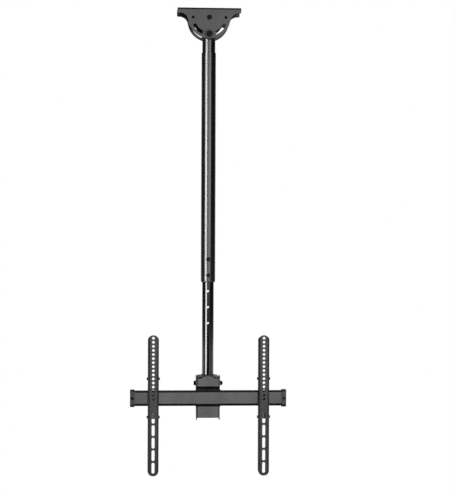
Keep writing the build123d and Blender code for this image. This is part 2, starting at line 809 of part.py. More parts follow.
def cross_bolts(x):
    """Short bolts through each side of an arm and its hook, with their nuts inside."""
    face = arm_width / 2
    nut_face = face - arm_sheet - face_gap - hook_sheet
    bolts = []
    nuts = []
    for z in cross_bolt_heights():
        at = (cross_bolt_y(), z)
        for side in (-1, 1):
            head = rod(cross_bolt_head, x + side * face, x + side * (face + cross_bolt_head_height), "X", at)
            rim = head.edges().filter_by(GeomType.CIRCLE).sort_by(Axis.X)[0 if side < 0 else -1]
            head = fillet(rim, cross_bolt_head_height * round_share)
            shank = rod(cross_bolt, x + side * (nut_face - cross_nut_height), x + side * face, "X", at)
            bolts.append(head + shank)
            nuts.append(hexagon(cross_nut_hex, x + side * nut_face, -side * cross_nut_height, "X", at,
                                cross_bolt))
    return bolts, nuts


def arm_lock_screw(x):
    """Knurled screw that presses up against the rail, drawn just clear of it."""
    tip = rail_z - rail_height / 2 - tip_gap
    at = (x, arm_screw_y())
    shank = rod(arm_screw, tip - arm_screw_length, tip, "Z", at)
    head = rod(arm_screw_head, tip - arm_screw_length - arm_screw_head_height,
               tip - arm_screw_length, "Z", at)
    head = chamfer(head.edges().filter_by(GeomType.CIRCLE), arm_screw_head_chamfer)
    return head + shank


def arm_weld_nut(x):
    """Nut welded under the lock tab."""
    top = rail_z - hook_web_reach - hook_sheet
    return hexagon(arm_screw_nut_hex, top, -arm_screw_nut, "Z", (x, arm_screw_y()), arm_screw)


def parts():
    """Every node of the mount, by name."""
    nodes = {"ceiling_bracket": ceiling_bracket()}
    bolt, nut, washers = ceiling_through_bolt(pivot_z, pivot_bolt, pivot_bolt_hex, pivot_bolt_head,
                                              pivot_nut_height, pivot_washer_diameter, 0)
    nodes.update({"pivot_bolt": bolt, "pivot_nut": nut, "pivot_washers": washers})
    bolt, nut, washers = ceiling_through_bolt(lock_z, lean_bolt, lean_bolt_hex, lean_bolt_head,
                                              lean_nut_height, lean_washer_diameter, face_gap)
    nodes.update({"lean_lock_bolt": bolt, "lean_lock_nut": nut, "lean_lock_washers": washers})
    nodes["fork"] = fork()
    nodes["fork_shims"] = fork_shims()
    nodes["neck_tube"] = neck_tube()
    nodes["neck_screws"] = neck_screws()
    nodes["outer_tube"] = outer_tube()
    nodes["guide_bush"] = guide_bush()
    nodes["screw_bosses"] = screw_bosses()
    nodes["height_lock_screws"] = height_lock_screws()
    nodes["inner_tube"] = inner_tube()
    nodes["slide_ring"] = slide_ring()
    nodes["tube_end_plug"] = tube_end_plug()
    nodes["friction_washer"] = friction_ring()
    nodes["swivel_bolt"] = swivel_bolt()
    nodes["swivel_washer"] = swivel_thrust_washer()
    nodes["yoke"] = yoke()
    nodes["tilt_plate"] = tilt_plate()
    bolt, nut, washers = tilt_through_bolt(tilt_z)
    nodes.update({"tilt_pivot_bolt": bolt, "tilt_pivot_nut": nut})
    lock_bolt, lock_nut, lock_washers = tilt_through_bolt(tilt_lock_z)
    nodes.update({"tilt_lock_bolt": lock_bolt, "tilt_lock_nut": lock_nut})
    nodes["tilt_washers"] = washers + lock_washers
    nodes["tilt_spacers"] = tilt_spacers()
    nodes["rail"] = rail()
    nodes["rail_saddle"] = rail_saddle()
    nodes["rail_screws"] = rail_screws()
    nodes["rail_nuts"] = rail_nuts()
    nodes["rail_end_cap_left"] = rail_end_cap(-1)
    nodes["rail_end_cap_right"] = rail_end_cap(1)
    nodes["cap_screws"] = cap_screws()
    for name, side in (("left", -1), ("right", 1)):
        x = side * arm_offset
        nodes[name + "_arm_channel"] = arm_channel(x)
        nodes[name + "_arm_hook"] = arm_hook(x)
        bolts, nuts = cross_bolts(x)
        nodes[name + "_cross_bolts"] = bolts
        nodes[name + "_cross_nuts"] = nuts
        nodes[name + "_arm_lock_screw"] = arm_lock_screw(x)
        nodes[name + "_arm_weld_nut"] = arm_weld_nut(x)
    return nodes


def solids_of(shape):
    """The solids of one piece, or of a list of like pieces."""
    if isinstance(shape, list):
        return [solid for piece in shape for solid in piece.solids()]
    return list(shape.solids())


os.makedirs("parts", exist_ok=True)
for node, shape in parts().items():
    solids = solids_of(shape)
    item = solids[0] if len(solids) == 1 else Compound(children=solids)
    item.label = node
    export_step(item, "parts/" + node + ".step")
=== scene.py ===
import json
import math

import bpy
from mathutils import Matrix, Vector


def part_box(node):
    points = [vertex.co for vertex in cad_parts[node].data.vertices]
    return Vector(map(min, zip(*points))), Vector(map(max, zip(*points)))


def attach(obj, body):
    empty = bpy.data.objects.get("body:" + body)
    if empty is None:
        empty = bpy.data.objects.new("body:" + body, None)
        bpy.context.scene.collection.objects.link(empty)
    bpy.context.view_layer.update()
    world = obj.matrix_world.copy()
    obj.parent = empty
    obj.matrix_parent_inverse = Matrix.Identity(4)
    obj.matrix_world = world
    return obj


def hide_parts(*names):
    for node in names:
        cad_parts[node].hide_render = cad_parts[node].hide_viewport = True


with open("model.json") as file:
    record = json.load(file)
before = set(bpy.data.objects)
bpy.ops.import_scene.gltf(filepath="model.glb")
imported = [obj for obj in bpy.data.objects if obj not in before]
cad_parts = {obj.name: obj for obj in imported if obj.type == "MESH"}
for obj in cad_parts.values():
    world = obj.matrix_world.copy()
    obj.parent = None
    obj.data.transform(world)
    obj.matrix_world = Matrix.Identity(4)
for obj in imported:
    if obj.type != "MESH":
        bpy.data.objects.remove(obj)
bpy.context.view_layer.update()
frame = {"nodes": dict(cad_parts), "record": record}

bl_info = {
    "name": "Ceiling screen mount",
    "version": (1, 0, 0),
    "blender": (4, 5, 0),
    "location": "3D View > Sidebar > Screen Mount",
    "description": "Finishes, fasteners, welds and studio for a telescopic ceiling screen mount",
    "category": "Object",
}

MM = 0.001

# Pieces that the side strip lights, and the one that the lower softbox leaves out
POLE_PIECES = ("neck_tube", "outer_tube", "inner_tube", "guide_bush", "screw_bosses",
               "height_lock_screws", "neck_weld", "lower_boss_weld", "upper_boss_weld")
SHADED_PIECES = ("inner_tube",)

# Colours of the edges where a finish is rubbed
RUBBED_COAT = (0.03, 0.03, 0.031)
RUBBED_PAINT = (0.02, 0.02, 0.021)
RUBBED_STEEL = (0.12, 0.12, 0.124)
RUBBED_ZINC = (0.68, 0.69, 0.7)

# Finishes: how much the marks, the middle of the spread, the edges and the dimples count
MARK_SHARE = 0.6
SPREAD_MIDDLE = 0.8
EDGE_POLISH = 0.12
DIMPLE_STRENGTH = 0.6
FINE_GRAIN = 3.1
CELL_SHARE = 0.35

# Bolt heads: how finely they are drawn, and their crown as shares of width over the flats and height
BOLT_SIDES = 96
CROWN_STEPS = 12
CROWN_TOP = 0.455
CROWN_EDGE = 0.475
CROWN_HEIGHT = 0.26
CROWN_CURVE = 0.8
SEAT_FACE = 0.47
SEAT_STEP = 0.4 * MM
BOLT_TIP = 0.9 * MM

# Threads: rows of points a turn, depth as a share of the pitch, crest, flanks, run-in and run-out
BOLT_ROWS = 8
SCREW_ROWS = 6
THREAD_DEPTH = 0.6
THREAD_CREST = 1.6
THREAD_FLANK = 4.6
THREAD_RUN_IN = 1.5
THREAD_RUN_OUT = 1.2

# Knurled screws: one groove as shares of its depth, the dish in the head, and the tip
KNURL_WAVE = (0.0, 0.6, 1.0, 0.6)
KNURL_DEPTH = 0.45 * MM
KNURL_RIM = 0.8 * MM
DISH_DEPTH = 0.5 * MM
DISH_FLOOR = 0.55
DISH_EDGE = 0.6
SCREW_TIP = 0.6 * MM

# Weld beads: how finely they are drawn, how their size changes along them, and where they lie
BEAD_SIDES = 12
RIPPLE_POINTS = 9
RIPPLE_LOW = 0.86
BEAD_END = 0.35
BEAD_SMOOTH = 60.0
WOBBLES = ((0.06, 410.0), (0.04, 1130.0))
BOSS_BEAD = 0.6
BOSS_BULGE = 0.7
SADDLE_INSET = 4 * MM

# Studio: floor, light of the surroundings, places of the panels round the mount, and the camera's film
FLOOR_RADIUS = 4.4
FLOOR_SIDES = 96
FLOOR_GLOW = 0.3
FLOOR_ROUGHNESS = 0.8
FLOOR_PALER = 1.04
DIM_LIGHT = 0.012
LOW_PANEL_OUT = 4.0
LOW_PANEL_DROP = 1.2
REAR_PANEL_SIDE = 3.4
REAR_PANEL_BACK = 4.2
FILM_WIDTH = 36.0

# CAD nodes by their material slot
PIECES_BY_SLOT = {}
for subpart in frame["record"]["subparts"]:
    PIECES_BY_SLOT.setdefault(subpart["material_slot"], []).append(subpart["node"])


# Sizes and colours that a user would change

class FinishSizes(bpy.types.PropertyGroup):
    coat_color: bpy.props.FloatVectorProperty(
        name="Coat colour", description="Base colour of the powder coat",
        default=(0.004, 0.004, 0.0042), subtype="COLOR", min=0.0, max=1.0)
    coat_roughness: bpy.props.FloatProperty(
        name="Coat roughness", description="Middle roughness of the powder coat",
        default=0.25, subtype="FACTOR", min=0.0, max=1.0)
    coat_grain: bpy.props.FloatProperty(
        name="Coat grain", description="Size of one dimple of the powder coat",
        default=1.1 * MM, subtype="DISTANCE", unit="LENGTH")
    steel_color: bpy.props.FloatVectorProperty(
        name="Steel colour", description="Base colour of the blackened fasteners",
        default=(0.004, 0.004, 0.0042), subtype="COLOR", min=0.0, max=1.0)
    washer_color: bpy.props.FloatVectorProperty(
        name="Washer colour", description="Base colour of the blackened washers",
        default=(0.03, 0.03, 0.031), subtype="COLOR", min=0.0, max=1.0)
    plastic_color: bpy.props.FloatVectorProperty(
        name="Plastic colour", description="Base colour of the moulded caps and rings",
        default=(0.014, 0.014, 0.0145), subtype="COLOR", min=0.0, max=1.0)
    zinc_color: bpy.props.FloatVectorProperty(
        name="Zinc colour", description="Base colour of the plated nuts and plug",
        default=(0.55, 0.56, 0.58), subtype="COLOR", min=0.0, max=1.0)


class FastenerSizes(bpy.types.PropertyGroup):
    pivot_bolt: bpy.props.FloatProperty(
        name="Pivot bolt", description="Thread diameter of the ceiling pivot bolt",
        default=8.0 * MM, subtype="DISTANCE", unit="LENGTH")
    pivot_pitch: bpy.props.FloatProperty(
        name="Pivot bolt pitch", description="Thread pitch of the pivot bolt",
        default=1.25 * MM, subtype="DISTANCE", unit="LENGTH")
    pivot_head: bpy.props.FloatProperty(
        name="Pivot bolt head", description="Height of the pivot bolt's head",
        default=5.3 * MM, subtype="DISTANCE", unit="LENGTH")
    lean_bolt: bpy.props.FloatProperty(
        name="Lean bolt", description="Thread diameter of the bolt that locks the lean",
        default=10.0 * MM, subtype="DISTANCE", unit="LENGTH")
    lean_pitch: bpy.props.FloatProperty(
        name="Lean bolt pitch", description="Thread pitch of the lean bolt",
        default=1.5 * MM, subtype="DISTANCE", unit="LENGTH")
    lean_head: bpy.props.FloatProperty(
        name="Lean bolt head", description="Height of the lean bolt's head",
        default=6.4 * MM, subtype="DISTANCE", unit="LENGTH")
    joint_thread: bpy.props.FloatProperty(
        name="Joint bolt thread", description="Length of thread at the joint bolts' tips",
        default=22.0 * MM, subtype="DISTANCE", unit="LENGTH")
    tilt_bolt: bpy.props.FloatProperty(
        name="Tilt bolts", description="Thread diameter of the two bolts of the tilting head",
        default=8.0 * MM, subtype="DISTANCE", unit="LENGTH")
    tilt_pitch: bpy.props.FloatProperty(
        name="Tilt bolt pitch", description="Thread pitch of the tilt bolts",
        default=1.25 * MM, subtype="DISTANCE", unit="LENGTH")
    tilt_head: bpy.props.FloatProperty(
        name="Tilt bolt head", description="Height of the tilt bolts' heads",
        default=5.3 * MM, subtype="DISTANCE", unit="LENGTH")
    tilt_thread: bpy.props.FloatProperty(
        name="Tilt bolt thread", description="Length of thread at the tilt bolts' tips",
        default=12.0 * MM, subtype="DISTANCE", unit="LENGTH")
    arm_screw: bpy.props.FloatProperty(
        name="Arm lock screw", description="Thread diameter of the arm lock screws",
        default=6.0 * MM, subtype="DISTANCE", unit="LENGTH")
    arm_screw_pitch: bpy.props.FloatProperty(
        name="Arm screw pitch", description="Thread pitch of the arm lock screws",
        default=1.0 * MM, subtype="DISTANCE", unit="LENGTH")
    arm_screw_head: bpy.props.FloatProperty(
        name="Arm screw head", description="Height of the knurled heads",
        default=7.0 * MM, subtype="DISTANCE", unit="LENGTH")
    knurls: bpy.props.IntProperty(
        name="Knurls", description="Grooves round a knurled head", default=36, min=12, max=72)


class WeldSizes(bpy.types.PropertyGroup):
    bead: bpy.props.FloatProperty(
        name="Weld bead", description="Radius of a weld bead",
        default=1.5 * MM, subtype="DISTANCE", unit="LENGTH")
    ripple: bpy.props.FloatProperty(
        name="Weld ripple", description="Length of one ripple along a bead",
        default=1.6 * MM, subtype="DISTANCE", unit="LENGTH")


class StageSizes(bpy.types.PropertyGroup):
    distance: bpy.props.FloatProperty(
        name="Distance", description="From the camera to the pole",
        default=4.4, subtype="DISTANCE", unit="LENGTH")
    azimuth: bpy.props.FloatProperty(
        name="Azimuth", description="How far the camera stands round to the right of the front",
        default=math.radians(-2.8), subtype="ANGLE")
    roll: bpy.props.FloatProperty(
        name="Roll", description="How far the camera leans to one side",
        default=math.radians(0.2), subtype="ANGLE")
    camera_height: bpy.props.FloatProperty(
        name="Camera height", description="Height of the camera and of the point it looks at",
        default=-0.741, subtype="DISTANCE", unit="LENGTH")
    aim: bpy.props.FloatProperty(
        name="Aim", description="How far to the right of the pole the camera looks",
        default=0.0624, subtype="DISTANCE", unit="LENGTH")
    view_height: bpy.props.FloatProperty(
        name="View height", description="Height of the view at the pole",
        default=1.543, subtype="DISTANCE", unit="LENGTH")
    floor_drop: bpy.props.FloatProperty(
        name="Floor", description="From the ceiling down to the floor",
        default=2.4, subtype="DISTANCE", unit="LENGTH")
    floor_color: bpy.props.FloatVectorProperty(
        name="Floor colour", description="Colour of the plain floor",
        default=(0.82, 0.82, 0.81), subtype="COLOR", min=0.0, max=1.0)


# Shader groups shared by the finishes

def new_group(name, inputs, outputs):
    """Empty shader group with float inputs and named outputs."""
    tree = bpy.data.node_groups.new(name, "ShaderNodeTree")
    for label, value in inputs:
        socket = tree.interface.new_socket(name=label, in_out="INPUT", socket_type="NodeSocketFloat")
        socket.default_value = value
    for label, kind in outputs:
        tree.interface.new_socket(name=label, in_out="OUTPUT", socket_type=kind)
    return tree, tree.nodes.new("NodeGroupInput"), tree.nodes.new("NodeGroupOutput")


def put(tree, kind, settings=None, **inputs):
    """New node with its settings and the values or links of its inputs."""
    node = tree.nodes.new(kind)
    for key, value in (settings or {}).items():
        setattr(node, key, value)
    for key, value in inputs.items():
        socket = node.inputs[int(key[1:])] if key[0] == "i" and key[1:].isdigit() else node.inputs[key]
        if isinstance(value, bpy.types.NodeSocket):
            tree.links.new(value, socket)
        else:
            socket.default_value = value
    return node


def math_node(tree, operation, first, second=0.0, clamp=False):
    """Result of one sum on two values or links."""
    return put(tree, "ShaderNodeMath", {"operation": operation, "use_clamp": clamp},
               i0=first, i1=second).outputs[0]


def grain_group():
    """Fine dimples: a height for the bump and a speckle for the roughness."""
    tree, given, result = new_group(
        "fine grain", [("Size", 0.001), ("Detail", 2.0)],
        [("Height", "NodeSocketFloat"), ("Speckle", "NodeSocketFloat")])
    place = put(tree, "ShaderNodeTexCoord").outputs["Object"]
    scale = math_node(tree, "DIVIDE", 1.0, given.outputs["Size"])
    coarse = put(tree, "ShaderNodeTexNoise", Vector=place, Scale=scale,
                 Detail=given.outputs["Detail"]).outputs["Fac"]
    fine_scale = math_node(tree, "MULTIPLY", scale, FINE_GRAIN)
    cells = put(tree, "ShaderNodeTexVoronoi", {"feature": "SMOOTH_F1"}, Vector=place,
                Scale=fine_scale).outputs["Distance"]
    cells = math_node(tree, "MULTIPLY", cells, CELL_SHARE)
    tree.links.new(math_node(tree, "ADD", coarse, cells), result.inputs["Height"])
    speckle = put(tree, "ShaderNodeTexNoise", Vector=place, Scale=fine_scale, Detail=1.0)
    tree.links.new(speckle.outputs["Fac"], result.inputs["Speckle"])
    return tree


def edge_group():
    """Outer edges, where a finish is thinner and rubbed, and the rounded normal there."""
    tree, given, result = new_group(
        "rubbed edges", [("Radius", 0.0006), ("Reach", 4.0), ("Patchiness", 220.0)],
        [("Edge", "NodeSocketFloat"), ("Normal", "NodeSocketVector")])
    place = put(tree, "ShaderNodeTexCoord").outputs["Object"]
    round_normal = put(tree, "ShaderNodeBevel", {"samples": 6},
                       Radius=given.outputs["Radius"]).outputs["Normal"]
    flat_normal = put(tree, "ShaderNodeNewGeometry").outputs["Normal"]
    likeness = put(tree, "ShaderNodeVectorMath", {"operation": "DOT_PRODUCT"},
                   i0=round_normal, i1=flat_normal).outputs["Value"]
    turned = math_node(tree, "SUBTRACT", 1.0, likeness)
    turned = math_node(tree, "MULTIPLY", turned, given.outputs["Reach"], clamp=True)
    patches = put(tree, "ShaderNodeTexNoise", Vector=place, Scale=given.outputs["Patchiness"],
                  Detail=3.0).outputs["Fac"]
    patches = put(tree, "ShaderNodeMapRange", Value=patches, **{"From Min": 0.42, "From Max": 0.62})
    tree.links.new(math_node(tree, "MULTIPLY", turned, patches.outputs["Result"], clamp=True),
                   result.inputs["Edge"])
    tree.links.new(round_normal, result.inputs["Normal"])
    return tree


def handling_group():
    """Broad soft patches left by hands and wiping."""
    tree, given, result = new_group(
        "handling marks", [("Scale", 14.0), ("Stretch", 3.0)], [("Smudge", "NodeSocketFloat")])
    place = put(tree, "ShaderNodeTexCoord").outputs["Object"]
    stretched = put(tree, "ShaderNodeCombineXYZ", X=1.0, Y=1.0)
    squeeze = math_node(tree, "DIVIDE", 1.0, given.outputs["Stretch"])
    tree.links.new(squeeze, stretched.inputs["Z"])
    place = put(tree, "ShaderNodeVectorMath", {"operation": "MULTIPLY"}, i0=place,
                i1=stretched.outputs["Vector"]).outputs["Vector"]
    cloud = put(tree, "ShaderNodeTexNoise", Vector=place, Scale=given.outputs["Scale"],
                Detail=4.0, Distortion=0.6).outputs["Fac"]
    soft = put(tree, "ShaderNodeMapRange", {"interpolation_type": "SMOOTHSTEP"}, Value=cloud,
               **{"From Min": 0.35, "From Max": 0.7})
    tree.links.new(soft.outputs["Result"], result.inputs["Smudge"])
    return tree


def shared_group(name, maker):
    """A shader group that is built once."""
    return bpy.data.node_groups.get(name) or maker()


def new_finish(name):
    """New material, its node tree and its Principled shader."""
    material = bpy.data.materials.new(name)
    material.use_nodes = True
    tree = material.node_tree
    shader = tree.nodes.get("Principled BSDF")
    return material, tree, shader


def mixed_color(tree, factor, first, second):
    """Colour between two, by a varying factor; the mix node's colours are sockets 6, 7 and output 2."""
    node = tree.nodes.new("ShaderNodeMix")
    node.data_type = "RGBA"
    tree.links.new(factor, node.inputs["Factor"])
    node.inputs[6].default_value = (*first, 1.0)
    node.inputs[7].default_value = (*second, 1.0)
    return node.outputs[2]


def finish(name, color, rubbed, roughness, spread, grain, depth, metallic=0.0, edge_metal=0.0,
           specular=0.5):
    """Procedural finish: grain, rubbed edges and handling marks over one base."""
    material, tree, shader = new_finish(name)
    shader.inputs["Specular IOR Level"].default_value = specular
    dimples = put(tree, "ShaderNodeGroup", {"node_tree": shared_group("fine grain", grain_group)})
    dimples.inputs["Size"].default_value = grain
    edges = put(tree, "ShaderNodeGroup", {"node_tree": shared_group("rubbed edges", edge_group)})
    marks = put(tree, "ShaderNodeGroup", {"node_tree": shared_group("handling marks", handling_group)})
    tree.links.new(mixed_color(tree, edges.outputs["Edge"], color, rubbed), shader.inputs["Base Color"])
    uneven = math_node(tree, "MULTIPLY", dimples.outputs["Speckle"], spread)
    wiped = math_node(tree, "MULTIPLY", marks.outputs["Smudge"], spread * MARK_SHARE)
    total = math_node(tree, "ADD", uneven, wiped)
    total = math_node(tree, "ADD", total, roughness - spread * SPREAD_MIDDLE)
    polished = math_node(tree, "MULTIPLY", edges.outputs["Edge"], EDGE_POLISH)
    tree.links.new(math_node(tree, "SUBTRACT", total, polished, clamp=True), shader.inputs["Roughness"])
    if edge_metal > 0:
        bare = math_node(tree, "MULTIPLY", edges.outputs["Edge"], edge_metal)
        tree.links.new(math_node(tree, "ADD", bare, metallic, clamp=True), shader.inputs["Metallic"])
    else:
        shader.inputs["Metallic"].default_value = metallic
    bump = put(tree, "ShaderNodeBump", Height=dimples.outputs["Height"], Normal=edges.outputs["Normal"],
               Strength=DIMPLE_STRENGTH, Distance=depth)
    tree.links.new(bump.outputs["Normal"], shader.inputs["Normal"])
    return material


def give_finish(material, nodes):
    """Puts a finish on CAD nodes."""
    for node in nodes:
        mesh = frame["nodes"][node].data
        mesh.materials.clear()
        mesh.materials.append(material)


# Mesh helpers

def new_piece(name, vertices, faces, body, material, smooth_angle=35.0):
    """Mesh object in the shared frame that rides on a body."""
    mesh = bpy.data.meshes.new(name)
    mesh.from_pydata(vertices, [], faces)
    mesh.update()
    mesh.materials.append(bpy.data.materials[material])
    piece = bpy.data.objects.new(name, mesh)
    bpy.context.scene.collection.objects.link(piece)
    for polygon in mesh.polygons:
        polygon.use_smooth = True
    mesh.set_sharp_from_angle(angle=math.radians(smooth_angle))
    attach(piece, body)
    return piece


class Shell:
    """Vertices and faces gathered in a piece's own axes, then placed by a matrix."""

    def __init__(self, place):
        self.place = place
        self.vertices = []
        self.faces = []

    def ring(self, points):
        """Adds a ring of points and gives their numbers."""
        first = len(self.vertices)
        self.vertices.extend(self.place @ Vector(point) for point in points)
        return list(range(first, first + len(points)))

    def join(self, lower, upper):
        """Adds the band of faces between two rings."""
        count = len(lower)
        for i in range(count):
            j = (i + 1) % count
            self.faces.append((lower[i], lower[j], upper[j], upper[i]))

    def close(self, ring, flip=False):
        """Fills a ring with one face."""
        self.faces.append(tuple(reversed(ring)) if flip else tuple(ring))


def circle(radius, z, count):
    """Points of a level circle."""
    points = []
    for i in range(count):
        angle = math.tau * i / count
        points.append((radius * math.cos(angle), radius * math.sin(angle), z))
    return points


def hexagon_points(across, radius, z, count):
    """Points of a hexagon whose corners are cut back to a radius."""
    points = []
    for i in range(count):
        angle = math.tau * i / count
        from_flat = (angle + math.pi / 6) % (math.pi / 3) - math.pi / 6
        reach = min(across / 2 / math.cos(from_flat), radius)
        points.append((reach * math.cos(angle), reach * math.sin(angle), z))
    return points


def thread_grid(radius, pitch, start, end, count, rows_per_turn):
    """Points of a thread between two heights, row by row, and the radius at its root."""
    depth = pitch * THREAD_DEPTH
    root = radius - depth
    turns = math.ceil((end - start) / pitch)
    total = (turns + 2) * rows_per_turn
    grid = []
    for row in range(total + 1):
        points = []
        for i in range(count):
            share = i / count
            z = start + (row / rows_per_turn - 1 + share) * pitch
            phase = row % rows_per_turn / rows_per_turn
            wave = min(1.0, max(0.0, THREAD_CREST - abs(phase - 0.5) * THREAD_FLANK))
            run_in = max(0.0, (z - start) / pitch * THREAD_RUN_IN)
            run_out = max(0.0, (end - z) / pitch * THREAD_RUN_OUT)
            fade = min(1.0, run_in, run_out)
            reach = root + depth * wave * fade
            z = min(end, max(start, z))
            points.append((reach * math.cos(math.tau * share), reach * math.sin(math.tau * share), z))
        grid.append(points)
    return grid, root


def threaded_mesh(shell, radius, pitch, start, end, count, rows_per_turn):
    """Adds a helical thread to a shell; returns its first and last rings and the radius at its root."""
    grid, root = thread_grid(radius, pitch, start, end, count, rows_per_turn)
    index = {}
    rings = []
    for points in grid:
        ring = []
        for point in points:
            key = tuple(round(value * 1e7) for value in point)
            if key not in index:
                index[key] = len(shell.vertices)
                shell.vertices.append(shell.place @ Vector(point))
            ring.append(index[key])
        rings.append(ring)
    for row in range(len(rings) - 1):
        for i in range(count):
            if i + 1 < count:
                corners = (rings[row][i], rings[row][i + 1], rings[row + 1][i + 1], rings[row + 1][i])
            elif row + 1 + rows_per_turn < len(rings):
                corners = (rings[row][i], rings[row + rows_per_turn][0],
                           rings[row + 1 + rows_per_turn][0], rings[row + 1][i])
            else:
                corners = (rings[row][i], rings[-1][0], rings[-1][0], rings[row + 1][i])
            face = []
            for corner in corners:
                if corner not in face:
                    face.append(corner)
            if len(face) > 2:
                shell.faces.append(tuple(face))
    return rings[0], rings[-1], root


def bolt_head(shell, across, head):
    """Rings of a crowned hexagon head, from its top down to its seat."""
    corner = across / 2 / math.cos(math.pi / 6)
    edge = across * CROWN_EDGE
    rings = [shell.ring(circle(across * CROWN_TOP, -head, BOLT_SIDES))]
    for step in range(CROWN_STEPS + 1):
        share = step / CROWN_STEPS
        reach = edge + (corner - edge) * share
        z = -head + head * CROWN_HEIGHT * share ** CROWN_CURVE
        rings.append(shell.ring(hexagon_points(across, reach, z, BOLT_SIDES)))
    rings.append(shell.ring(hexagon_points(across, corner, -SEAT_STEP, BOLT_SIDES)))
    rings.append(shell.ring(circle(across * SEAT_FACE, -SEAT_STEP, BOLT_SIDES)))
    rings.append(shell.ring(circle(across * SEAT_FACE, 0, BOLT_SIDES)))
    return rings


def threaded_end(shell, rings, radius, pitch, start, length, tip, rows_per_turn):
    """Joins a screw's rings and adds its thread and its tapered tip."""
    for lower, upper in zip(rings, rings[1:]):
        shell.join(lower, upper)
    shell.close(rings[0], flip=True)
    count = len(rings[0])
    first, last, root = threaded_mesh(shell, radius, pitch, start, length - tip, count, rows_per_turn)
    shell.join(rings[-1], first)
    end = shell.ring(circle(root - tip, length, count))
    shell.join(last, end)
    shell.close(end)


def steel_piece(name, shell, body, node):
    """Blackened screw that stands for a CAD node."""
    piece = new_piece(name, shell.vertices, shell.faces, body, "blackened steel")
    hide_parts(node)
    return piece


def hex_bolt(name, node, body, diameter, pitch, head, thread):
    """Level hexagon bolt with a crowned head, flats up and down, and a cut thread at its tip."""
    low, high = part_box(node)
    size = high - low
    axis = 0 if size.x > size.y else 1
    seat = (low + high) / 2
    seat[axis] = low[axis] + head
    length = size[axis] - head
    if axis == 0:
        turn = Matrix.Rotation(math.radians(90), 4, "Y")
    else:
        turn = Matrix.Rotation(math.radians(-90), 4, "X") @ Matrix.Rotation(math.radians(30), 4, "Z")
    shell = Shell(Matrix.Translation(seat) @ turn)
    start = length - thread
    rings = bolt_head(shell, min(size), head)
    rings.append(shell.ring(circle(diameter / 2, 0, BOLT_SIDES)))
    rings.append(shell.ring(circle(diameter / 2, start, BOLT_SIDES)))
    threaded_end(shell, rings, diameter / 2, pitch, start, length, BOLT_TIP, BOLT_ROWS)
    return steel_piece(name, shell, body, node)


def knurled_circle(reach, z, share, count):
    """Points of a level circle with a share of the knurl's grooves."""
    points = []
    for i in range(count):
        wave = KNURL_WAVE[i % len(KNURL_WAVE)] * share
        radius = reach - KNURL_RIM * (1 - share) - KNURL_DEPTH * wave
        angle = math.tau * i / count
        points.append((radius * math.cos(angle), radius * math.sin(angle), z))
    return points


def knurled_screw(name, node, body, fasteners):
    """Upright lock screw with a knurled head below and a cut thread."""
    low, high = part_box(node)
    head = fasteners.arm_screw_head
    radius = fasteners.arm_screw / 2
    reach = (high.x - low.x) / 2
    shell = Shell(Matrix.Translation(((low.x + high.x) / 2, (low.y + high.y) / 2, low.z)))
    count = fasteners.knurls * len(KNURL_WAVE)
    rings = [shell.ring(circle(reach * DISH_FLOOR, DISH_DEPTH, count)),
             shell.ring(circle(reach * DISH_EDGE, 0, count))]
    for z, share in ((0, 0.0), (KNURL_RIM, 1.0), (head - KNURL_RIM, 1.0), (head, 0.0)):
        rings.append(shell.ring(knurled_circle(reach, z, share, count)))
    rings.append(shell.ring(circle(radius, head, count)))
    threaded_end(shell, rings, radius, fasteners.arm_screw_pitch, head, high.z - low.z, SCREW_TIP,
                 SCREW_ROWS)
    return steel_piece(name, shell, body, node)


def bead_samples(welds, length):
    """How many points along a bead draw its ripples well."""
    return round(length / welds.ripple * RIPPLE_POINTS)


def bead_size(path, place, travelled, welds, scale, closed):
    """Radius of a bead at one point of its path: ripples, tapered ends and a slight wobble."""
    bead = welds.bead * scale
    phase = travelled / welds.ripple % 1.0
    size = bead * (RIPPLE_LOW + (1.0 - RIPPLE_LOW) * math.sin(math.pi * phase))
    if not closed:
        end_gap = min((place - path[0][0]).length, (place - path[-1][0]).length)
        size *= min(1.0, BEAD_END + (1.0 - BEAD_END) * (end_gap / bead) ** 0.5)
    return size * (1.0 + sum(height * math.sin(travelled * rate) for height, rate in WOBBLES))


def weld_bead(name, path, body, welds, closed, scale=1.0):
    """Rippled bead along a path of points, each with the way that it bulges."""
    shell = Shell(Matrix.Identity(4))
    rings = []
    travelled = 0.0
    for i, (point, outward) in enumerate(path):
        before = path[i - 1][0] if i or closed else point
        after = path[(i + 1) % len(path)][0] if i + 1 < len(path) or closed else point
        along = (after - before).normalized()
        outward = (outward - along * outward.dot(along)).normalized()
        across = along.cross(outward)
        if i:
            travelled += (point - path[i - 1][0]).length
        size = bead_size(path, point, travelled, welds, scale, closed)
        ring = []
        for k in range(BEAD_SIDES):
            angle = math.tau * k / BEAD_SIDES
            ring.append(point + (outward * math.cos(angle) + across * math.sin(angle)) * size)
        rings.append(shell.ring(ring))
    for lower, upper in zip(rings, rings[1:]):
        shell.join(lower, upper)
    if closed:
        shell.join(rings[-1], rings[0])
    else:
        shell.close(rings[0], flip=True)
        shell.close(rings[-1])
    return new_piece(name, shell.vertices, shell.faces, body, "satin black coat",
                     BEAD_SMOOTH)


# Operators, one for each group of pieces

class MountOperator:
    """What the mount's operators share."""
    bl_options = {"REGISTER", "UNDO"}

    def done(self, made):
        """Fails where nothing was made."""
        if not made:
            raise RuntimeError(self.bl_label + " made nothing")
        return {"FINISHED"}


